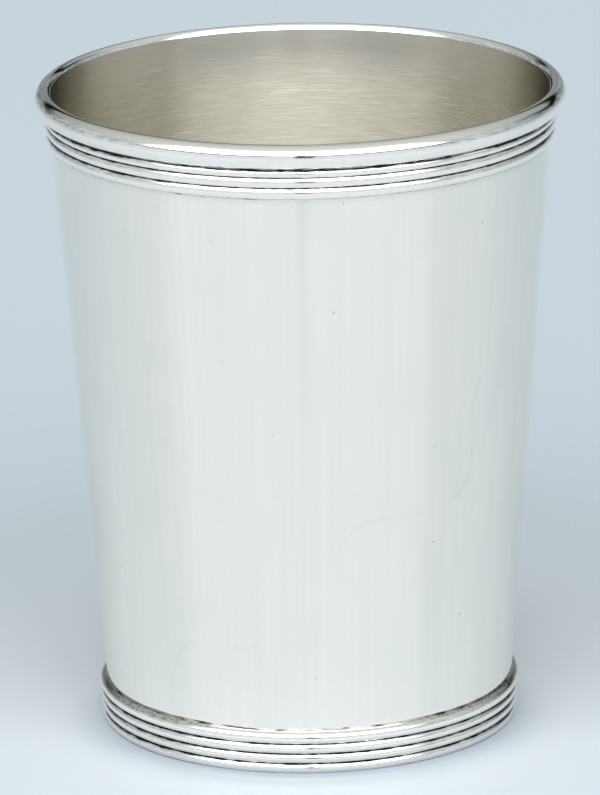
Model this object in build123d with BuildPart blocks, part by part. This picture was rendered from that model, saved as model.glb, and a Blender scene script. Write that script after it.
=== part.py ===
from build123d import *
import os
from math import atan, cos, sin, sqrt

# Driving sizes in millimetres, from the standing face at z = 0

# Whole cup
HEIGHT = 95.25          # standing face to crown of the lip
MOUTH_RADIUS = 36.86    # outside of the wall carried up to the crown
BASE_RADIUS = 29.42     # outside of the wall carried down to the standing face
SHEET = 0.6             # wall sheet, measured level
WALL_LIFT = 0.5         # lower edge of the wall above the standing face

# Bottom disc let into the wall
BASE_INSET = 0.7        # underside of the disc above the lower edge of the wall
BASE_THICKNESS = 0.9
BASE_FILLET = 0.9       # leg of the solder run in the inside corner

# Lip bead, fuller on its outer side
BEAD_OUTSET = 1.6       # crown to the outer side
BEAD_INSET = 0.8        # crown to the inner side
BEAD_HALF_HEIGHT = 1.75

# Reeded strip below the lip, heights measured up the wall
RIM_REED = 1.55         # one full reed
RIM_TOP_REED = 1.16     # upper reed, trimmed to go under the bead
RIM_EDGE_REED = 1.6     # lower reed, rounded down to the wall
RIM_BACKING = 0.25      # metal left behind the grooves
RIM_RISE = 0.4          # crest of a reed above the grooves
RIM_EDGE = 0.22         # edge of the strip where it meets the wall
RIM_SEAM_RUN = 0.25     # solder run below the strip
BEAD_SEAM_GAP = 0.2     # solder left between strip and bead at the narrowest

# Reeded strip round the foot, heights measured up the wall
FOOT_REEDS = 3          # full reeds below the edge reed
FOOT_REED = 1.5         # one full reed
FOOT_EDGE_REED = 1.85   # upper reed, rounded down to the wall
FOOT_BACKING = 0.62     # metal left behind the grooves
FOOT_RISE = 0.45        # crest of a reed above the grooves
FOOT_EDGE = 0.25        # edge of the strip where it meets the wall
FOOT_SEAM_RUN = 0.3     # solder run above the strip

# Shares of a piece's own size
EDGE_CREST = 0.44       # groove to crest, of the height of an edge reed
BASE_HOLLOW = 0.42      # middle of the corner run's face, of its leg

# Sizes that follow
SLOPE = (MOUTH_RADIUS - BASE_RADIUS) / HEIGHT
TAPER = atan(SLOPE)
BEAD_Z = HEIGHT - BEAD_HALF_HEIGHT
BASE_LIFT = WALL_LIFT + BASE_INSET
BASE_TOP = BASE_LIFT + BASE_THICKNESS


def outside(z):
    """Radius of the outer face of the wall at height z."""
    return BASE_RADIUS + SLOPE * z


def inside(z):
    """Radius of the inner face of the wall at height z."""
    return outside(z) - SHEET


def wall_plane(z):
    """Sketch plane on the outer face: x leaves the wall squarely, y runs up it."""
    return Plane(origin=(outside(z), 0, z), x_dir=(cos(TAPER), 0, -sin(TAPER)), z_dir=(0, -1, 0))


BEAD_RADIUS = inside(BEAD_Z) + BEAD_INSET
RIM_LENGTH = RIM_EDGE_REED + RIM_REED + RIM_TOP_REED
RIM_TOP = HEIGHT - 2 * BEAD_HALF_HEIGHT - BEAD_SEAM_GAP
RIM_FOOT = RIM_TOP - RIM_LENGTH * cos(TAPER)
FOOT_LENGTH = FOOT_REEDS * FOOT_REED + FOOT_EDGE_REED
FOOT_SKIRT = FOOT_BACKING * sin(TAPER)


def bead_underside(radius):
    """Height of the underside of the bead's oval section at a radius."""
    half_width = BEAD_INSET if radius < BEAD_RADIUS else BEAD_OUTSET
    return BEAD_Z - BEAD_HALF_HEIGHT * sqrt(1 - ((radius - BEAD_RADIUS) / half_width) ** 2)


os.makedirs("parts", exist_ok=True)

# Tapered wall, one sheet raised to a plain cone
with BuildPart() as cup_wall:
    with BuildSketch(Plane.XZ):
        with BuildLine():
            Polyline(
                (inside(WALL_LIFT), WALL_LIFT),
                (outside(WALL_LIFT), WALL_LIFT),
                (outside(BEAD_Z), BEAD_Z),
                (inside(BEAD_Z), BEAD_Z),
                close=True,
            )
        make_face()
    revolve(axis=Axis.Z)
cup_wall.part.label = "cup_wall"
export_step(cup_wall.part, "parts/cup_wall.step")

# Bottom disc, its edge cut to the taper of the wall
with BuildPart() as base_disc:
    with BuildSketch(Plane.XZ):
        with BuildLine():
            Polyline(
                (0, BASE_LIFT),
                (inside(BASE_LIFT), BASE_LIFT),
                (inside(BASE_TOP), BASE_TOP),
                (0, BASE_TOP),
                close=True,
            )
        make_face()
    revolve(axis=Axis.Z)
base_disc.part.label = "base_disc"
export_step(base_disc.part, "parts/base_disc.step")

# Solder run in the inside corner above the disc
with BuildPart() as base_solder_seam:
    with BuildSketch(Plane.XZ):
        with BuildLine():
            corner = (inside(BASE_TOP), BASE_TOP)
            on_disc = (inside(BASE_TOP) - BASE_FILLET, BASE_TOP)
            on_wall = (inside(BASE_TOP + BASE_FILLET), BASE_TOP + BASE_FILLET)
            sink = BASE_HOLLOW * BASE_FILLET
            hollow = (inside(BASE_TOP) - sink, BASE_TOP + sink)
            Line(corner, on_disc)
            ThreePointArc(on_disc, hollow, on_wall)
            Line(on_wall, corner)
        make_face()
    revolve(axis=Axis.Z)
base_solder_seam.part.label = "base_solder_seam"
export_step(base_solder_seam.part, "parts/base_solder_seam.step")

# Section of the solder run between the rim strip and the underside of the bead
with BuildSketch(Plane.XZ) as bead_seam_section:
    with BuildLine():
        strip_radius = outside(RIM_TOP) + RIM_BACKING * cos(TAPER)
        seam_top = bead_underside(outside(RIM_TOP))
        Polyline(
            (outside(RIM_TOP), RIM_TOP),
            (strip_radius, RIM_TOP - RIM_BACKING * sin(TAPER)),
            (strip_radius, bead_underside(strip_radius)),
            (outside(seam_top), seam_top),
            close=True,
        )
    make_face()

# Lip bead, half an oval on each side of its crown, rebated to sit over the raw edge of the sheet
# and filed flat where the solder takes
with BuildPart() as lip_bead:
    with BuildSketch(Plane.XZ):
        with BuildLine():
            crown_axis = (BEAD_RADIUS, BEAD_Z)
            EllipticalCenterArc(crown_axis, BEAD_OUTSET, BEAD_HALF_HEIGHT, -90, arc_size=180)
            EllipticalCenterArc(crown_axis, BEAD_INSET, BEAD_HALF_HEIGHT, 90, arc_size=180)
        make_face()
        with BuildLine():
            below = BEAD_Z - 2 * BEAD_HALF_HEIGHT
            clear = BEAD_RADIUS - 2 * BEAD_INSET
            Polyline(
                (outside(BEAD_Z), BEAD_Z),
                (outside(below), below),
                (clear, below),
                (clear, BEAD_Z),
                close=True,
            )
        make_face(mode=Mode.SUBTRACT)
        add(bead_seam_section.sketch_local, mode=Mode.SUBTRACT)
    revolve(axis=Axis.Z)
lip_bead.part.label = "lip_bead"
export_step(lip_bead.part, "parts/lip_bead.step")

# Solder run between the rim strip and the bead
with BuildPart() as bead_solder_seam:
    add(bead_seam_section.sketch)
    revolve(axis=Axis.Z)
bead_solder_seam.part.label = "bead_solder_seam"
export_step(bead_solder_seam.part, "parts/bead_solder_seam.step")

# Three-reed strip below the bead
with BuildPart() as rim_reed_band:
    with BuildSketch(wall_plane(RIM_FOOT)):
        with BuildLine():
            crest = RIM_BACKING + RIM_RISE
            groove_low = RIM_EDGE_REED
            groove_high = RIM_EDGE_REED + RIM_REED
            Line((0, RIM_LENGTH), (0, 0))
            Line((0, 0), (RIM_EDGE, 0))
            ThreePointArc(
                (RIM_EDGE, 0),
                (crest, groove_low - EDGE_CREST * RIM_EDGE_REED),
                (RIM_BACKING, groove_low),
            )
            ThreePointArc(
                (RIM_BACKING, groove_low),
                (crest, groove_low + RIM_REED / 2),
                (RIM_BACKING, groove_high),
            )
            ThreePointArc(
                (RIM_BACKING, groove_high),
                (crest, groove_high + RIM_TOP_REED / 2),
                (RIM_BACKING, RIM_LENGTH),
            )
            Line((RIM_BACKING, RIM_LENGTH), (0, RIM_LENGTH))
        make_face()
    revolve(axis=Axis.Z)
rim_reed_band.part.label = "rim_reed_band"
export_step(rim_reed_band.part, "parts/rim_reed_band.step")

# Solder run below the rim strip
with BuildPart() as rim_solder_seam:
    with BuildSketch(wall_plane(RIM_FOOT)):
        with BuildLine():
            Polyline((0, -RIM_SEAM_RUN), (0, 0), (RIM_EDGE, 0), close=True)
        make_face()
    revolve(axis=Axis.Z)
rim_solder_seam.part.label = "rim_solder_seam"
export_step(rim_solder_seam.part, "parts/rim_solder_seam.step")

# Four-reed strip round the foot, ground flat where it stands
with BuildPart() as foot_reed_band:
    with BuildSketch(wall_plane(0)):
        with BuildLine():
            crest = FOOT_BACKING + FOOT_RISE
            grooves = [n * FOOT_REED for n in range(FOOT_REEDS + 1)]
            Line((0, FOOT_LENGTH), (0, -FOOT_SKIRT))
            Line((0, -FOOT_SKIRT), (FOOT_BACKING, -FOOT_SKIRT))
            Line((FOOT_BACKING, -FOOT_SKIRT), (FOOT_BACKING, 0))
            for low, high in zip(grooves, grooves[1:]):
                ThreePointArc((FOOT_BACKING, low), (crest, (low + high) / 2), (FOOT_BACKING, high))
            ThreePointArc(
                (FOOT_BACKING, grooves[-1]),
                (crest, grooves[-1] + EDGE_CREST * FOOT_EDGE_REED),
                (FOOT_EDGE, FOOT_LENGTH),
            )
            Line((FOOT_EDGE, FOOT_LENGTH), (0, FOOT_LENGTH))
        make_face()
    revolve(axis=Axis.Z)
    split(bisect_by=Plane.XY, keep=Keep.TOP)
foot_reed_band.part.label = "foot_reed_band"
export_step(foot_reed_band.part, "parts/foot_reed_band.step")

# Solder run above the foot strip
with BuildPart() as foot_solder_seam:
    with BuildSketch(wall_plane(FOOT_LENGTH * cos(TAPER))):
        with BuildLine():
            Polyline((0, 0), (FOOT_EDGE, 0), (0, FOOT_SEAM_RUN), close=True)
        make_face()
    revolve(axis=Axis.Z)
foot_solder_seam.part.label = "foot_solder_seam"
export_step(foot_solder_seam.part, "parts/foot_solder_seam.step")
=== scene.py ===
import math
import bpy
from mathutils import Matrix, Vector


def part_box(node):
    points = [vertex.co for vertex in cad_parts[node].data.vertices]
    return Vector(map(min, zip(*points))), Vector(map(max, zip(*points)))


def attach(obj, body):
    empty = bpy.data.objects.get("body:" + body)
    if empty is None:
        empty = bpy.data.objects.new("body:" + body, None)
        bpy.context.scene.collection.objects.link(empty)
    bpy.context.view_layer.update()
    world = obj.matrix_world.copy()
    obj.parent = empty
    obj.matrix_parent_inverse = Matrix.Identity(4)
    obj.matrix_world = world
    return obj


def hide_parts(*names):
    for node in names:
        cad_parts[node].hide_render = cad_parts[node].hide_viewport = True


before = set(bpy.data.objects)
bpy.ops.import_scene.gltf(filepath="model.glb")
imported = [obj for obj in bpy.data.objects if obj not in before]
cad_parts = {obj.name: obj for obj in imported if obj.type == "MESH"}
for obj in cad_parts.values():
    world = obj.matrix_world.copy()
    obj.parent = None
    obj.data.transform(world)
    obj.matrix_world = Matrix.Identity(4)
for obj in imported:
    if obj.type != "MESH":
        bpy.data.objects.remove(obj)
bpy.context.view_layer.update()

from types import SimpleNamespace

import bpy
import numpy as np
from mathutils import Matrix

MM = 0.001              # millimetres to scene metres
SEGMENTS = 384          # faces round the axis, enough for a mirror finish


# Sizes of the cup in millimetres: what the frame holds is read from it


def span(node_name):
    """Largest radius, lowest height and highest height of a turned node."""
    low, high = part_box(node_name)
    return high.x / MM, low.z / MM, high.z / MM


SHEET = 0.6             # wall sheet, measured level
BEAD_INSET = 0.8        # bead, crown to its inner side
EDGE_CREST = 0.44       # groove to crest, of the height of an edge reed
RIM_SEAM_RUN = 0.25     # solder below the rim strip, down the wall
FOOT_SEAM_RUN = 0.3     # solder above the foot strip, up the wall
SEAM_SWELL = 0.25       # how much a solder run swells and shrinks, of its size
DRESSED_FROM = 147      # degrees round the bead's section where its inner side is dressed flat

# Wear of the cup and painted shade in the crevice under its bead, lengths in millimetres
CREVICE_TARNISH_AND_SHADE = 0.22  # how far tarnish and painted shade reach over the bead from the crevice under it
CREVICE_UNEVEN = 0.8    # how much that varies round the cup, of itself
CREVICE_SEED = 135      # draws where that tarnish and painted shade are wide, most so in front
LEFT_WIDER = 0.5        # how much wider tarnish lies at the cup's left side than in front
RIGHT_WIDER = 0.1       # the same at its right side
RIGHT_STAIN = 0.45      # reach of a solder stain at the right, of its reach at the left
LIP_BUFFED = (8, 1.5)   # below the sheet's top, where the inside begins to be buffed and fully is
RIM_HAZE = (1.1, 0.4)   # below the rim strip, where a haze of solder begins and is full

# Reeded strips: heights of the reeds from the lower one up, metal behind the grooves, crest above
# them, how far the lower and upper edges stand off the wall, how wide tarnish lies beside each
# groove from the lower edge up, how uneven it is along the upper edge, and how far down from there
# solder stains
# On the rim strip the dark at its upper edge, in the crevice under the bead, is tarnish with painted
# shade
RIM = SimpleNamespace(
    reeds=(1.6, 1.55, 1.16), backing=0.25, rise=0.4, low_edge=0.22, high_edge=0.25,
    tarnish=(0, 0.19, 0.19, 0.3), ragged=0.9, stain=0,
)
FOOT = SimpleNamespace(
    reeds=(1.5, 1.5, 1.5, 1.85), backing=0.62, rise=0.45, low_edge=0.62, high_edge=0.25,
    tarnish=(0.18, 0.26, 0.25, 0.21, 0), ragged=0, stain=0.6,
)

WALL_RADIUS, WALL_FOOT, WALL_TOP = span("cup_wall")
BASE_RADIUS, BASE_UNDER, BASE_TOP = span("base_disc")
BASE_FILLET = span("base_solder_seam")[2] - BASE_TOP
BEAD_OUTSIDE, CROWN = span("lip_bead")[::2]
RIM_TOP = span("rim_reed_band")[2]
FOOT_OUTSIDE, FOOT_TOP = span("foot_reed_band")[::2]

SLOPE = (WALL_RADIUS - SHEET - BASE_RADIUS) / (WALL_TOP - BASE_TOP)
TAPER = math.atan(SLOPE)
BEAD_HALF_HEIGHT = CROWN - WALL_TOP
BEAD_RADIUS = WALL_RADIUS - SHEET + BEAD_INSET
BEAD_OUTSET = BEAD_OUTSIDE - BEAD_RADIUS
RIM_FOOT = RIM_TOP - sum(RIM.reeds) * math.cos(TAPER)


def outside(z):
    """Radius of the wall's outer face at height z: a straight taper."""
    return WALL_RADIUS - SLOPE * (WALL_TOP - z)


def inside(z):
    """Radius of the wall's inner face at height z."""
    return outside(z) - SHEET


def off_wall(z, points):
    """Points given as (distance off the wall, distance up it from height z), as (radius, height)."""
    off, up = np.asarray(points, float).T
    radius = outside(z) + off * math.cos(TAPER) + up * math.sin(TAPER)
    return np.stack([radius, z - off * math.sin(TAPER) + up * math.cos(TAPER)], axis=1)


# Profiles, as runs of points that leave out their last one


def straight(start, end, count):
    """Evenly spaced points from start towards end."""
    t = np.arange(count)[:, None] / count
    return np.asarray(start) * (1 - t) + np.asarray(end) * t


def arc(start, middle, end, count):
    """Points on the circle through three points, from start towards end."""
    a, b, c = (complex(*p) for p in (start, middle, end))
    w = (c - a) / (b - a)
    centre = a + (b - a) * (w - abs(w) ** 2) / (w - w.conjugate())
    way = np.angle((b - centre) / (a - centre))
    sweep = np.angle((c - centre) / (a - centre))
    if sweep * way < 0 or abs(way) > abs(sweep):
        sweep -= math.copysign(2 * math.pi, sweep)
    p = centre + (a - centre) * np.exp(1j * sweep * np.arange(count) / count)
    return np.stack([p.real, p.imag], axis=1)


def outline(*runs):
    """Joins runs into one closed profile. Gives its points and the rows that are corners."""
    starts = np.cumsum([0] + [len(run) for run in runs[:-1]])
    return np.concatenate(runs), starts


def turned(name, profile, corners, shape=None):
    """A closed (radius, height) profile, counter-clockwise, carried round Z.

    Row i and column j of the grid are profile point i at the angle 2 pi j / SEGMENTS. shape may
    change the grid's radius and height by the angle, for what isn't quite round. Rows of no radius
    close to a pole. Gives the piece, and the row and the angle of each of its points."""
    angle = np.arange(SEGMENTS) * 2 * math.pi / SEGMENTS
    radius, height = (np.repeat(profile[:, k, None], SEGMENTS, axis=1) for k in (0, 1))
    if shape:
        radius, height = shape(radius, height, angle)
    points = np.stack([radius * np.cos(angle), radius * np.sin(angle), height], axis=-1) * MM

    index = np.arange(radius.size).reshape(radius.shape)
    pole = np.abs(profile[:, 0]) < 1e-6
    index[pole] = index[pole][:, :1]
    above = np.roll(index, -1, axis=0)
    quads = np.stack([index, np.roll(index, -1, 1), np.roll(above, -1, 1), above], axis=-1)
    pole_above = np.roll(pole, -1)
    bands = quads[~pole & ~pole_above].reshape(-1, 4)
    fans_low = quads[pole & ~pole_above][..., [0, 2, 3]].reshape(-1, 3)
    fans_high = quads[~pole & pole_above][..., [0, 1, 2]].reshape(-1, 3)

    used = np.unique(index)
    renumber = np.zeros(index.size, int)
    renumber[used] = np.arange(used.size)
    faces = sum((renumber[f].tolist() for f in (bands, fans_low, fans_high)), [])
    mesh = bpy.data.meshes.new(name)
    mesh.from_pydata(points.reshape(-1, 3)[used].tolist(), [], faces)
    mesh.polygons.foreach_set("use_smooth", np.ones(len(mesh.polygons), bool))

    row = used // SEGMENTS
    ends = np.empty(len(mesh.edges) * 2, int)
    mesh.edges.foreach_get("vertices", ends)
    first, second = row[ends.reshape(-1, 2)].T
    sharp = mesh.attributes.new("sharp_edge", "BOOLEAN", "EDGE")
    sharp.data.foreach_set("value", (first == second) & np.isin(first, corners))
    mesh.update()
    piece = bpy.data.objects.new(name, mesh)
    bpy.context.scene.collection.objects.link(piece)
    return piece, row, angle[used % SEGMENTS]


# Materials


def linear(code):
    """An sRGB hex colour such as "C0C0C0" as linear red, green, blue and alpha."""
    s = np.array([int(code[k:k + 2], 16) for k in (0, 2, 4)]) / 255
    curve = np.where(s <= 0.04045, s / 12.92, ((s + 0.055) / 1.055) ** 2.4)
    return (*curve.tolist(), 1.0)


def node(tree, kind, inputs=(), **settings):
    """Adds one node and gives its outputs.

    Its inputs are values or sockets to link, by place in a tuple or by name in a dict."""
    made = tree.nodes.new("ShaderNode" + kind)
    for name, value in settings.items():
        setattr(made, name, value)
    for key, value in inputs.items() if isinstance(inputs, dict) else enumerate(inputs):
        if isinstance(value, bpy.types.NodeSocket):
            tree.links.new(value, made.inputs[key])
        else:
            made.inputs[key].default_value = value
    return made.outputs


# Sockets of a Mix node: its share, then the two that it mixes and the outcome, for colours and numbers
MIX_SHARE = 0
MIX_FIRST, MIX_SECOND, MIXED = 6, 7, 2
NUMBER_FIRST, NUMBER_SECOND, NUMBER_MIXED = 2, 3, 0


def cells(*sizes_mm):
    """Texture scale at which a pattern's cells measure these millimetres."""
    return tuple(1 / (size * MM) for size in sizes_mm)


def metal(name):
    """A bare metal material. Gives it with its tree, its shader and the Object coordinates."""
    made = bpy.data.materials.new(name)
    made.use_nodes = True
    tree = made.node_tree
    shader = tree.nodes["Principled BSDF"]
    shader.inputs["Metallic"].default_value = 1.0
    return made, tree, shader, node(tree, "TexCoord")["Object"]


def finish(tree, shader, **sockets):
    """Links sockets to the shader's inputs of those names, with _ for a space."""
    for name, socket in sockets.items():
        tree.links.new(socket, shader.inputs[name.replace("_", " ")])


# Colours of the metal: bright, lapped and worn silver, its sulphide, satin silver and hard solder
SILVER = linear("FCFAF5")
SILVER_SHEET = linear("F8F4ED")
SILVER_LAPPED = linear("F1EFE9")
SILVER_WORN = linear("E9E6DD")
SULPHIDE = linear("2E2C29")
SATIN = linear("D7D4C8")
SATIN_FRESH = linear("F0EEE6")
SATIN_WORN = linear("C1BDAC")
SATIN_GREYER_BELOW_LIP = linear("C3C2BD")
SATIN_EDGE_ON = linear("C4C2B8")
SOLDER = linear("CFCBBB")
SOLDER_WIPED = linear("E6E5DA")
SOLDER_DULL = linear("A8A69D")


def buffed_sterling():
    """Sterling silver sheet, buffed on a wheel: a mirror with faint lap lines up the wall.

    To the eye it is the white floor once more, in soft upright streaks, with pin pits, a few hair
    scratches and a faint haze of solder below the rim strip."""
    made, tree, shader, where = metal("sterling_silver_buffed")
    flat = node(tree, "VectorMath", (where, (1, 1, 0)), operation="MULTIPLY")[0]
    spoke = node(tree, "VectorMath", (flat,), operation="NORMALIZE")[0]
    rise = node(tree, "VectorMath", (where, (0, 0, 1)), operation="MULTIPLY")[0]
    around = (WALL_RADIUS * MM,) * 3
    ring = node(tree, "VectorMath", (spoke, around, rise), operation="MULTIPLY_ADD")[0]
    up_wall = node(tree, "Mapping", {"Vector": ring, "Scale": cells(1.3, 1.3, 130)})[0]
    lap = node(tree, "TexNoise", {"Vector": up_wall, "Scale": 1.0, "Detail": 4.0})["Fac"]
    smudge_map = node(tree, "Mapping", {"Vector": where, "Scale": cells(7, 7, 10)})[0]
    smudge = node(tree, "TexNoise", {"Vector": smudge_map, "Scale": 1.0, "Detail": 4.0})["Fac"]

    hair_map = node(tree, "Mapping", {"Vector": where, "Scale": cells(44, 44, 52)})[0]
    hair = node(tree, "TexNoise", {"Vector": hair_map, "Scale": 1.0, "Detail": 0.6})["Fac"]
    off_line = node(tree, "Math", (hair, 0.5), operation="SUBTRACT")[0]
    off_line = node(tree, "Math", (off_line,), operation="ABSOLUTE")[0]
    on_line = node(tree, "MapRange", (off_line, 0.0, 0.0022, 1.0, 0.0))[0]
    shown = node(tree, "MapRange", (smudge, 0.48, 0.6, 0.0, 0.6))[0]
    scratch = node(tree, "Math", (on_line, shown), operation="MULTIPLY")[0]

    pit_map = node(tree, "Mapping", {"Vector": where, "Scale": cells(4.8, 4.8, 4.8)})[0]
    to_pit = node(tree, "TexVoronoi", {"Vector": pit_map, "Scale": 1.0})["Distance"]
    pit = node(tree, "MapRange", (to_pit, 0.016, 0.034, 0.7, 0.0))[0]

    height = node(tree, "SeparateXYZ", (where,))[2]
    haze_from, haze_full = ((RIM_FOOT - below) * MM for below in RIM_HAZE)
    haze = node(tree, "MapRange", (height, haze_from, haze_full, 0.0, 0.7))[0]
    colour = SILVER_SHEET
    streak = node(tree, "MapRange", (lap, 0.35, 0.7, 0.0, 0.8))[0]
    blur = node(tree, "MapRange", (smudge, 0.45, 0.75, 0.0, 0.8))[0]
    tones = (
        (streak, SILVER_LAPPED),
        (blur, SILVER_LAPPED),
        (scratch, SILVER_WORN),
        (haze, SOLDER_WIPED),
        (pit, SULPHIDE),
    )
    for share, tone in tones:
        inputs = {MIX_SHARE: share, MIX_FIRST: colour, MIX_SECOND: tone}
        colour = node(tree, "Mix", inputs, data_type="RGBA")[MIXED]
    finish(
        tree, shader,
        Base_Color=colour,
        Roughness=node(tree, "MapRange", (smudge, 0.35, 0.7, 0.05, 0.09))[0],
        Normal=node(tree, "Bump", {"Height": lap, "Distance": 0.0025 * MM})[0],
    )
    return made


def satin_sterling(name, lies_flat):
    """Sterling silver rubbed round the axis with fine grit: warm, soft gloss crossed by fine lines.

    The lines run level on the wall and in rings where the metal lies flat. They spread the gloss to
    a broad sheen across them, bright where it faces the light. Close below the lip the buffing
    wheel has taken the lines away, and there the colour is greyer and darker."""
    made, tree, shader, where = metal(name)
    x, y, height = node(tree, "SeparateXYZ", (where,))
    buffed_from, buffed_full = ((WALL_TOP - below) * MM for below in LIP_BUFFED)
    buffed_lip = node(tree, "MapRange", (height, buffed_from, buffed_full))[0]
    across = height
    if lies_flat:
        across = node(tree, "VectorMath", (where,), operation="LENGTH")["Value"]
    rubbed = node(tree, "CombineXYZ", (x, y, across))[0]
    level = node(tree, "Mapping", {"Vector": rubbed, "Scale": cells(4, 4, 0.1)})[0]
    grain = node(tree, "TexNoise", {"Vector": level, "Scale": 1.0, "Detail": 4.0})["Fac"]
    fresh = []
    for lean in (24, -17):
        turn = (0, math.radians(lean), 0)
        slant_map = {"Vector": rubbed, "Rotation": turn, "Scale": cells(8, 8, 0.12)}
        slant = node(tree, "Mapping", slant_map)[0]
        strokes = node(tree, "TexNoise", {"Vector": slant, "Scale": 1.0, "Detail": 3.0})["Fac"]
        fresh.append(node(tree, "MapRange", (strokes, 0.59, 0.69, 0.0, 0.85))[0])
        grain = node(tree, "Math", (grain, strokes), operation="ADD")[0]
    worn = node(tree, "MapRange", (grain, 1.27, 1.73))[0]
    colour = SATIN
    # Close below the lip the colour is made greyer and darker
    greyer_share = node(tree, "Math", (buffed_lip, 0.6), operation="MULTIPLY")[0]
    tones = ((worn, SATIN_WORN), *((share, SATIN_FRESH) for share in fresh), (greyer_share, SATIN_GREYER_BELOW_LIP))
    for share, tone in tones:
        inputs = {MIX_SHARE: share, MIX_FIRST: colour, MIX_SECOND: tone}
        colour = node(tree, "Mix", inputs, data_type="RGBA")[MIXED]
    rough = node(tree, "MapRange", (worn, 0.0, 1.0, 0.38, 0.43))[0]
    lines = node(tree, "MapRange", (buffed_lip, 0.0, 0.4, 1.0, 0.02))[0]
    roughness = {MIX_SHARE: buffed_lip, NUMBER_FIRST: rough, NUMBER_SECOND: 0.28}
    relief = {"Strength": lines, "Height": grain, "Distance": 0.0024 * MM}
    finish(
        tree, shader,
        Base_Color=colour,
        Roughness=node(tree, "Mix", roughness)[NUMBER_MIXED],
        Normal=node(tree, "Bump", relief)[0],
        Tangent=node(tree, "Tangent", direction_type="RADIAL", axis="Z")[0],
    )
    shader.inputs["Specular Tint"].default_value = SATIN_EDGE_ON
    shader.inputs["Anisotropic"].default_value = 0.9
    shader.inputs["Anisotropic Rotation"].default_value = 0.25
    return made


def drawn_sterling():
    """Sterling wire and strip drawn through a die, then buffed: mirror crests, dark grooves.

    To the eye each reed is a bright line, a thin dark one and a pale one. Where solder has run over
    a shoulder it is dull and slightly yellow."""
    made, tree, shader, where = metal("sterling_silver_drawn")
    ragged_map = node(tree, "Mapping", {"Vector": where, "Scale": cells(1.6, 1.6, 0.5)})[0]
    ragged = node(tree, "TexNoise", {"Vector": ragged_map, "Scale": 1.0, "Detail": 4.0})["Fac"]
    edge = node(tree, "MapRange", (ragged, 0.3, 0.7, -0.25, 0.25))[0]
    polish = node(tree, "Attribute", attribute_name="polish")["Fac"]
    polish = node(tree, "Math", (polish, edge), operation="ADD")[0]
    bright = node(tree, "MapRange", (polish, 0.3, 0.7))[0]
    stain = node(tree, "Attribute", attribute_name="stain")["Fac"]
    stain = node(tree, "Math", (stain, edge), operation="ADD")[0]
    soldered = node(tree, "MapRange", (stain, 0.3, 0.7))[0]
    tick_map = node(tree, "Mapping", {"Vector": where, "Scale": cells(0.8, 0.8, 0.2)})[0]
    ticks = node(tree, "TexNoise", {"Vector": tick_map, "Scale": 1.0, "Detail": 3.0})["Fac"]
    speck = node(tree, "MapRange", (ticks, 0.48, 0.64, 0.0, 0.5))[0]
    speck = node(tree, "Math", (speck, soldered), operation="MULTIPLY")[0]
    greyer_share = node(tree, "Math", (soldered, 0.6), operation="MULTIPLY")[0]

    colour = SULPHIDE
    for share, tone in ((bright, SILVER), (greyer_share, SOLDER), (speck, SULPHIDE)):
        inputs = {MIX_SHARE: share, MIX_FIRST: colour, MIX_SECOND: tone}
        colour = node(tree, "Mix", inputs, data_type="RGBA")[MIXED]
    dull = node(tree, "MapRange", (soldered, 0.0, 1.0, 0.0, 0.14))[0]
    rough = node(tree, "MapRange", (bright, 0.0, 1.0, 0.4, 0.045))[0]
    finish(
        tree, shader,
        Base_Color=colour,
        Roughness=node(tree, "Math", (rough, dull), operation="ADD")[0],
    )
    return made


def hard_solder(name, clean, dark_from, dark_to):
    """Hard silver solder, run by flame and only wiped over: dull, pitted and slightly yellow.

    Sulphide darkens the clean colour where the stain pattern, which lies about 0.5, rises from
    dark_from to dark_to."""
    made, tree, shader, where = metal(name)
    pit_map = node(tree, "Mapping", {"Vector": where, "Scale": cells(0.7, 0.7, 0.5)})[0]
    pits = node(tree, "TexNoise", {"Vector": pit_map, "Scale": 1.0, "Detail": 4.0})["Fac"]
    stain_map = node(tree, "Mapping", {"Vector": where, "Scale": cells(3, 3, 0.4)})[0]
    stain = node(tree, "TexNoise", {"Vector": stain_map, "Scale": 1.0, "Detail": 4.0})["Fac"]
    dark = node(tree, "MapRange", (stain, dark_from, dark_to))[0]
    inputs = {MIX_SHARE: dark, MIX_FIRST: clean, MIX_SECOND: SULPHIDE}
    finish(
        tree, shader,
        Base_Color=node(tree, "Mix", inputs, data_type="RGBA")[MIXED],
        Roughness=node(tree, "MapRange", (pits, 0.3, 0.7, 0.2, 0.45))[0],
        Normal=node(tree, "Bump", {"Height": pits, "Distance": 0.04 * MM})[0],
    )
    return made


# Pieces of the cup


def smooth_step(value, start, end):
    """0 up to start, 1 from end, and an S between them."""
    t = np.clip((value - start) / (end - start), 0, 1)
    return t * t * (3 - 2 * t)


def uneven(angle, seed, amount):
    """A random swell round the axis: a sum of cosines of the angle, at most amount."""
    draw = np.random.default_rng(seed)
    order = np.arange(2, 60)
    size = draw.normal(size=order.size) / np.sqrt(order)
    phase = draw.uniform(0, 2 * math.pi, order.size)
    swell = (size[:, None] * np.cos(order[:, None] * angle + phase[:, None])).sum(axis=0)
    return amount * swell / np.abs(swell).max()


def mark(piece, name, value):
    """Keeps a value for each point of a piece, for its material to read."""
    kept = piece.data.attributes.new(name, "FLOAT", "POINT")
    kept.data.foreach_set("value", value.astype(np.float32))


def reeds(strip, count=26):
    """Arcs side by side up a strip, each from groove to crest and back, as (off the wall, up it).

    A strip edge below the grooves makes its reed an edge reed, with its crest nearer the groove.
    Gives the runs and the polish of their points: 0 in a groove, 1 where its tarnish ends."""
    runs, polish, low = [], [], 0.0
    edges = [strip.low_edge] + [strip.backing] * (len(strip.reeds) - 1) + [strip.high_edge]
    for place, height in enumerate(strip.reeds):
        start, end = edges[place:place + 2]
        share = EDGE_CREST if end < strip.backing else 1 - EDGE_CREST if start < strip.backing else 0.5
        crest = (strip.backing + strip.rise, low + share * height)
        run = arc((start, low), crest, (end, low + height), count)
        below, above = (max(width, 1e-6) for width in strip.tarnish[place:place + 2])
        up = run[:, 1] - low
        runs.append(run)
        polish.append(np.minimum(up / below, (height - up) / above).clip(0, 2))
        low += height
    return runs, np.concatenate(polish)


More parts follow.
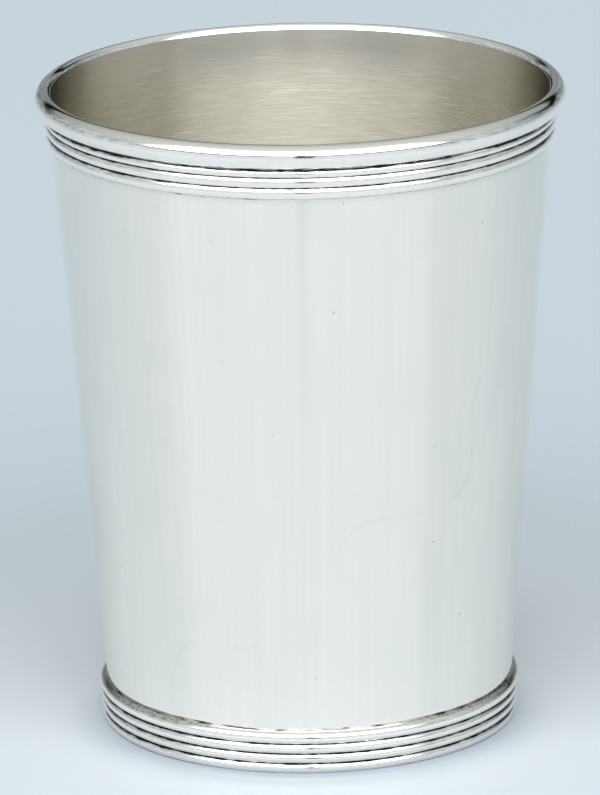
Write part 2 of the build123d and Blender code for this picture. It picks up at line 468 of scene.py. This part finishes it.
def make_wall(outer, inner):
    """The tapered sheet: up the outer face, over the edge under the bead, down the inner face."""
    foot_out, top_out = (outside(WALL_FOOT), WALL_FOOT), (outside(WALL_TOP), WALL_TOP)
    foot_in, top_in = (inside(WALL_FOOT), WALL_FOOT), (inside(WALL_TOP), WALL_TOP)
    rows = 60
    profile, corners = outline(
        straight(foot_out, top_out, rows), straight(top_out, top_in, 2),
        straight(top_in, foot_in, rows), straight(foot_in, foot_out, 2),
    )
    piece = turned("cup_wall_sheet", profile, corners)[0]
    for material in (outer, inner):
        piece.data.materials.append(material)
    face_row = np.arange(len(piece.data.polygons)) // SEGMENTS
    piece.data.polygons.foreach_set("material_index", (face_row > rows).astype(np.int32))
    return piece


def make_base(satin):
    """The bottom disc: a flat plate whose edge follows the wall's taper, closed at the axis."""
    rim_low, rim_high = (inside(BASE_UNDER), BASE_UNDER), (inside(BASE_TOP), BASE_TOP)
    rows = 24
    profile, corners = outline(
        straight((0, BASE_UNDER), rim_low, rows), straight(rim_low, rim_high, 2),
        straight(rim_high, (0, BASE_TOP), rows), np.array([[0, BASE_TOP]]),
    )
    piece = turned("bottom_disc", profile, corners[1:3])[0]
    piece.data.materials.append(satin)
    return piece


def bead_point(t):
    """Point t of the bead's section: two half ovals that meet at the crown, t = pi / 2."""
    half_width = np.where(np.cos(t) > 0, BEAD_OUTSET, BEAD_INSET)
    radius = BEAD_RADIUS + half_width * np.cos(t)
    return np.stack([radius, WALL_TOP + BEAD_HALF_HEIGHT * np.sin(t)], axis=-1)


def bead_underside(radius):
    """Height of the underside of the bead's section at a radius."""
    half_width = BEAD_OUTSET if radius > BEAD_RADIUS else BEAD_INSET
    return WALL_TOP - BEAD_HALF_HEIGHT * math.sqrt(1 - ((radius - BEAD_RADIUS) / half_width) ** 2)


def make_bead(drawn, satin):
    """The lip wire: its oval section, less the rebate where the sheet's raw edge sits.

    The oval is walked from where its underside leaves the wall to where its inner side is dressed
    flat with the sheet. Its polish rises from the crevice over the rim strip, which is dark with
    tarnish and painted shade."""
    under = np.linspace(-math.pi, -math.pi / 2, 2000)
    radius, z = bead_point(under).T
    leaves = under[np.argmin(np.abs(radius - outside(z)))]
    dressed = math.radians(DRESSED_FROM)
    rows = 96
    oval = bead_point(np.linspace(leaves, dressed, rows, endpoint=False))
    sheet_edge = (inside(WALL_TOP), WALL_TOP)
    seat = (outside(WALL_TOP), WALL_TOP)
    top = bead_point(dressed)[1]
    flat = straight((inside(top), top), sheet_edge, 4)
    profile, corners = outline(
        oval, straight(bead_point(dressed), flat[0], 1), flat,
        straight(sheet_edge, seat, 2), straight(seat, oval[0], 3),
    )
    piece, row, angle = turned("lip_wire", profile, corners)
    for material in (drawn, satin):
        piece.data.materials.append(material)
    face_row = np.arange(len(piece.data.polygons)) // SEGMENTS
    on_flat = (face_row > rows) & (face_row <= rows + len(flat))
    piece.data.polygons.foreach_set("material_index", on_flat.astype(np.int32))
    # Tarnish and painted shade reach out from the crevice, dark where the polish is low
    reach = CREVICE_TARNISH_AND_SHADE * (1 + uneven(angle, CREVICE_SEED, CREVICE_UNEVEN))
    from_crevice = (profile[:, 0] - oval[0, 0])[row] / reach
    mark(piece, "polish", np.where(row < rows // 2, from_crevice.clip(0, 1), 1))
    return piece


def make_strip(name, z, strip, drawn):
    """A reeded strip standing on the wall at height z: reeds outside, a flat back on the wall.

    At the two sides of the cup, more so at the left, tarnish lies wider in the grooves, and solder
    stains the upper shoulder of a strip that has a stain."""
    runs, polish = reeds(strip)
    length = sum(strip.reeds)
    back = [
        straight((strip.high_edge, length), (0, length), 2),
        straight((0, length), (0, 0), 4),
        straight((0, 0), (strip.low_edge, 0), 2),
    ]
    profile, corners = outline(*runs, *back)
    placed = off_wall(z, profile)
    placed[:, 1] = np.maximum(placed[:, 1], 0)
    piece, row, angle = turned(name, placed, corners)
    piece.data.materials.append(drawn)
    at_side = smooth_step(np.abs(np.cos(angle)), 0.3, 0.75)
    at_left = np.cos(angle) < 0
    polish = np.append(polish, np.full(len(profile) - len(polish), 2))
    wider = 1 + at_side * np.where(at_left, LEFT_WIDER, RIGHT_WIDER)
    # On the rim strip, tarnish and painted shade under the bead widen raggedly near its top
    if strip.ragged:
        near_top = smooth_step(profile[:, 1], length - 0.5 * strip.reeds[-1], length)
        wider += near_top[row] * uneven(angle, CREVICE_SEED, strip.ragged)
    mark(piece, "polish", polish[row] / wider)
    if strip.stain:
        reach = strip.stain * np.where(at_left, 1, RIGHT_STAIN)
        shoulder = smooth_step(profile[row, 1], length - reach, length - 0.6 * reach)
        mark(piece, "stain", shoulder * at_side)
    return piece


def make_seam(name, section, seed, solder):
    """A solder run: a straight-sided fillet that swells and shrinks round the cup.

    Its first corner stays in place, and the rest of the section grows and shrinks from there."""
    points = np.asarray(section, float)
    sides = zip(points, np.roll(points, -1, axis=0))
    profile, corners = outline(*(straight(start, end, 3) for start, end in sides))
    still_radius, still_height = points[0]

    def wander(radius, height, angle):
        swell = 1 + uneven(angle, seed, SEAM_SWELL)
        swollen = still_radius + (radius - still_radius) * swell
        return swollen, still_height + (height - still_height) * swell

    piece = turned(name, profile, corners, wander)[0]
    piece.data.materials.append(solder)
    return piece


buffed, drawn = buffed_sterling(), drawn_sterling()
satin = satin_sterling("sterling_silver_satin", lies_flat=False)
satin_flat = satin_sterling("sterling_silver_satin_flat", lies_flat=True)
solder = hard_solder("silver_solder_run", SOLDER, 0.6, 0.72)
wiped_solder = hard_solder("silver_solder_wiped", SOLDER_WIPED, 0.62, 0.72)
# Solder in the crevice under the bead: tarnish with painted shade, darker than the other runs
tarnished_shaded_solder = hard_solder("silver_solder_tarnished_shaded", SOLDER_DULL, 0.46, 0.56)
dull_solder = hard_solder("silver_solder_dull", SOLDER_DULL, 0.48, 0.64)

pieces = {
    "cup_wall": (make_wall(buffed, satin), "polished_silver"),
    "base_disc": (make_base(satin_flat), "satin_silver"),
    "lip_bead": (make_bead(drawn, satin), "polished_silver"),
    "rim_reed_band": (make_strip("rim_reeded_strip", RIM_FOOT, RIM, drawn), "reeded_silver"),
    "foot_reed_band": (make_strip("foot_reeded_strip", 0, FOOT, drawn), "reeded_silver"),
}
strip_back, strip_front = off_wall(RIM_TOP, [(0, 0), (RIM.backing, 0)])
seam_top = bead_underside(strip_back[0])
seams = {
    "rim_solder_seam": (
        off_wall(RIM_FOOT, [(0, 0), (0, -RIM_SEAM_RUN), (RIM.low_edge, 0)]),
        wiped_solder,
    ),
    "foot_solder_seam": (
        off_wall(FOOT_TOP, [(0, 0), (FOOT.high_edge, 0), (0, FOOT_SEAM_RUN)]),
        dull_solder,
    ),
    "bead_solder_seam": (
        [
            strip_back,
            strip_front,
            (strip_front[0], bead_underside(strip_front[0])),
            (outside(seam_top), seam_top),
        ],
        tarnished_shaded_solder,
    ),
    "base_solder_seam": (
        [
            (inside(BASE_TOP), BASE_TOP),
            (inside(BASE_TOP + BASE_FILLET), BASE_TOP + BASE_FILLET),
            (inside(BASE_TOP) - BASE_FILLET, BASE_TOP),
        ],
        solder,
    ),
}
for seed, (node_name, (section, material)) in enumerate(seams.items()):
    run = make_seam(node_name.replace("seam", "run"), section, seed, material)
    pieces[node_name] = (run, "silver_solder")
for node_name, (piece, slot) in pieces.items():
    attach(piece, "root")
    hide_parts(node_name)


# Studio


def make_floor():
    """A flat square sheet of white board far larger than the cup, on the standing plane.

    Its colour holds painted light and shade: it is painted palest in front of the cup and pale
    round it, darker far off behind, and with a painted contact shadow close in front of its foot.
    It shows the cup again in a faint, soft gloss."""
    half = 6.0
    painted_shadow_reach = 9
    corners = [(-half, -half, 0), (half, -half, 0), (half, half, 0), (-half, half, 0)]
    mesh = bpy.data.meshes.new("floor")
    mesh.from_pydata(corners, [], [(0, 1, 2, 3)])
    floor = bpy.data.objects.new("floor", mesh)
    bpy.context.scene.collection.objects.link(floor)
    made = bpy.data.materials.new("white_board_semi_gloss")
    made.use_nodes = True
    tree = made.node_tree
    shader = tree.nodes["Principled BSDF"]
    where = node(tree, "TexCoord")["Object"]

    # Painted light and shade by distance in metres, back from the axis and off it
    away = node(tree, "SeparateXYZ", (where,))[1]
    off_axis = node(tree, "VectorMath", (where,), operation="LENGTH")["Value"]
    # Painted light: the board is painted palest in front of the cup and pale round it
    front = node(tree, "MapRange", (away, 0.16, -0.10), interpolation_type="SMOOTHSTEP")[0]
    near = node(tree, "MapRange", (off_axis, 0.11, 0.055), interpolation_type="SMOOTHSTEP")[0]
    # Painted shade: the board is painted darker far off behind the cup
    far = node(tree, "MapRange", (off_axis, 0.6, 1.2), interpolation_type="SMOOTHSTEP")[0]
    behind = node(tree, "MapRange", (away, -0.6, 0.1), interpolation_type="SMOOTHSTEP")[0]
    painted_shade_far_behind = node(tree, "Math", (far, behind), operation="MULTIPLY")[0]
    # Painted contact shadow: the board is darker close in front of the cup's foot
    clear, touching = ((FOOT_OUTSIDE + reach) * MM for reach in (painted_shadow_reach, 0))
    by_foot = node(tree, "MapRange", (off_axis, clear, touching))[0]
    by_foot = node(tree, "Math", (by_foot, 2.0), operation="POWER")[0]
    shaded = node(tree, "MapRange", (away, 0.012, -0.018))[0]
    painted_contact_shadow = node(tree, "Math", (by_foot, shaded), operation="MULTIPLY")[0]
    colour = linear("BEC8D0")
    tones = ((front, "CED5DB"), (near, "CAD2D9"), (painted_shade_far_behind, "B6BABA"), (painted_contact_shadow, "A9B2BC"))
    for share, tone in tones:
        inputs = {MIX_SHARE: share, MIX_FIRST: colour, MIX_SECOND: linear(tone)}
        colour = node(tree, "Mix", inputs, data_type="RGBA")[MIXED]
    finish(tree, shader, Base_Color=colour)
    shader.inputs["Roughness"].default_value = 0.19
    shader.inputs["Specular IOR Level"].default_value = 0.034
    mesh.materials.append(made)


def make_tent():
    """Light tent round the cup, by direction: azimuth from the front and elevation, in degrees.

    A white soft box in front, brightest in its middle, over a grey slit and the camera's dark stand,
    a roof that dims towards the back, curtains in soft folds below it, and a dark gap where roof and
    back curtain meet."""
    world = bpy.data.worlds.new("light_tent")
    bpy.context.scene.world = world
    world.use_nodes = True
    tree = world.node_tree
    way = node(tree, "TexCoord")["Generated"]
    x, y, z = node(tree, "SeparateXYZ", (way,))
    ahead = node(tree, "Math", (y, -1.0), operation="MULTIPLY")[0]
    azimuth = node(tree, "Math", (x, ahead), operation="ARCTAN2")[0]
    azimuth = node(tree, "Math", (azimuth,), operation="DEGREES")[0]
    aside = node(tree, "Math", (azimuth,), operation="ABSOLUTE")[0]
    # The curtains are palest a little to the left of the front
    off_left = node(tree, "Math", (azimuth, 8.0), operation="ADD")[0]
    off_left = node(tree, "Math", (off_left,), operation="ABSOLUTE")[0]
    elevation = node(tree, "Math", (z,), operation="ARCSINE")[0]
    elevation = node(tree, "Math", (elevation,), operation="DEGREES")[0]
    to_front = node(tree, "VectorMath", (way, (0, -0.707, 0.707)), operation="DOT_PRODUCT")["Value"]
    fold_map = node(tree, "Mapping", {"Vector": way, "Scale": (14, 14, 4)})[0]
    folds = node(tree, "TexNoise", {"Vector": fold_map, "Scale": 1.0, "Detail": 2.0})["Fac"]
    # The gap is lowest at the tent's two back corners and rises away from them
    from_corner = node(tree, "Math", (140.0, aside), operation="SUBTRACT")[0]
    from_corner = node(tree, "Math", (from_corner,), operation="ABSOLUTE")[0]
    gap_line = node(tree, "Math", (from_corner, 0.5, 11.0), operation="MULTIPLY_ADD")[0]
    off_gap = node(tree, "Math", (elevation, gap_line), operation="SUBTRACT")[0]

    # Soft-edged stretches: what is measured, where it begins, is full, still is full and ends
    soft = "SMOOTHSTEP"
    stretches = {
        "gap_left": (azimuth, -188, -168, -155, -128),
        "gap_right": (azimuth, 105, 142, 164, 186),
        "gap_high": (off_gap, -8, -1.5, 2, 9),
        "box_high": (elevation, 15, 19, 46, 63),
        "box_wide": (azimuth, -79, -61, 54, 71),
        "box_bright": (azimuth, -96, -62, 58, 92),
        "box_middle": (azimuth, -48, -2, 2, 46),
        "slit_high": (elevation, 8.5, 11, 15.5, 18.5),
        "slit_wide": (azimuth, -84, -60, 56, 78),
        "stand_high": (elevation, -6, -2, 6, 12),
        "stand_wide": (azimuth, -4, -1.5, 4, 7),
    }
    within = {}
    for name, (value, begins, full, still_full, ends) in stretches.items():
        rise = node(tree, "MapRange", (value, begins, full), interpolation_type=soft)[0]
        fall = node(tree, "MapRange", (value, ends, still_full), interpolation_type=soft)[0]
        within[name] = node(tree, "Math", (rise, fall), operation="MULTIPLY")[0]
    gaps = (within["gap_left"], within["gap_right"])
    within["gap_wide"] = node(tree, "Math", gaps, operation="ADD")[0]
    share = {}
    for name in ("gap", "box", "slit", "stand"):
        both = (within[name + "_high"], within[name + "_wide"])
        share[name] = node(tree, "Math", both, operation="MULTIPLY")[0]

    folded = node(tree, "MapRange", (folds, 0.35, 0.65))[0]
    glow = node(tree, "MapRange", (to_front, -0.4, 0.9))[0]
    tones = {
        "roof": (glow, "969B95", "DCE2E0"),
        "lit": (folded, "A4A8AE", "DADEE0"),
        "dim": (folded, "70767A", "9AA1A4"),
    }
    cloth = {}
    for name, (part, dark, pale) in tones.items():
        inputs = {MIX_SHARE: part, MIX_FIRST: linear(dark), MIX_SECOND: linear(pale)}
        cloth[name] = node(tree, "Mix", inputs, data_type="RGBA")[MIXED]
    tent = cloth["lit"]
    layers = (
        (node(tree, "MapRange", (off_left, 96.0, 138.0))[0], cloth["dim"]),
        (node(tree, "MapRange", (off_left, 76.0, 50.0))[0], linear("E6EAEC")),
        (node(tree, "MapRange", (elevation, 16.0, 38.0))[0], cloth["roof"]),
        (share["gap"], linear("141514")),
        (share["box"], linear("FFFFFF")),
        (share["slit"], linear("6C6E76")),
        (share["stand"], linear("161616")),
        (node(tree, "MapRange", (elevation, -1.0, 1.0, 1.0, 0.0))[0], linear("C0CAD0")),
    )
    for part, colour in layers:
        inputs = {MIX_SHARE: part, MIX_FIRST: tent, MIX_SECOND: colour}
        tent = node(tree, "Mix", inputs, data_type="RGBA")[MIXED]
    bright = node(tree, "MapRange", (within["box_bright"], 0.0, 1.0, 0.1, 2.56))[0]
    bright = node(tree, "Math", (within["box_middle"], 0.95, bright), operation="MULTIPLY_ADD")[0]
    strength = node(tree, "Math", (share["box"], bright, 1.0), operation="MULTIPLY_ADD")[0]
    background = tree.nodes["Background"]
    tree.links.new(tent, background.inputs["Color"])
    tree.links.new(strength, background.inputs["Strength"])


def make_lens_card():
    """A flat black card facing the cup from just behind the lens, with its corners cut off.

    The silver, and faintly the floor, mirror it as a small dark mark in front."""
    half_width, half_height, cut = 38, 85, 30
    y, z = -1165, 415
    corners = [
        (half_width, cut - half_height), (half_width, half_height - cut),
        (half_width - cut, half_height), (cut - half_width, half_height),
        (-half_width, half_height - cut), (-half_width, cut - half_height),
        (cut - half_width, -half_height), (half_width - cut, -half_height),
    ]
    mesh = bpy.data.meshes.new("lens_card")
    mesh.from_pydata([(x * MM, y * MM, (z + up) * MM) for x, up in corners], [], [range(8)])
    card = bpy.data.objects.new("lens_card", mesh)
    bpy.context.scene.collection.objects.link(card)
    made = bpy.data.materials.new("black_card_matt")
    made.use_nodes = True
    shader = made.node_tree.nodes["Principled BSDF"]
    shader.inputs["Base Color"].default_value = linear("161616")
    shader.inputs["Roughness"].default_value = 0.9
    mesh.materials.append(made)


def make_camera():
    """The photograph's view: where the camera stands, how it is tilted, and its lens.

    The picture's long side of 795 pixels takes the sensor's width."""
    focal_px, long_side_px = 7835, 795
    distance_mm, height_mm = 1102.0, 365.4
    pitch, roll, yaw = (math.radians(a) for a in (16.080, -0.945, -0.039))
    level = np.array([math.sin(yaw), math.cos(yaw), 0])
    right = np.array([math.cos(yaw), -math.sin(yaw), 0])
    up = math.sin(pitch) * level + math.cos(pitch) * np.array([0, 0, 1])
    ahead = math.cos(pitch) * level - math.sin(pitch) * np.array([0, 0, 1])
    rolled_right = math.cos(roll) * right + math.sin(roll) * up
    rolled_up = math.cos(roll) * up - math.sin(roll) * right
    data = bpy.data.cameras.new("camera")
    data.sensor_width = 36
    data.lens = focal_px / long_side_px * data.sensor_width
    camera = bpy.data.objects.new("camera", data)
    turn = Matrix(np.stack([rolled_right, rolled_up, -ahead], axis=1).tolist()).to_4x4()
    camera.matrix_world = Matrix.Translation((0, -distance_mm * MM, height_mm * MM)) @ turn
    bpy.context.scene.collection.objects.link(camera)
    bpy.context.scene.camera = camera


make_floor()
make_tent()
make_lens_card()
make_camera()
bpy.context.scene.view_settings.view_transform = "Standard"
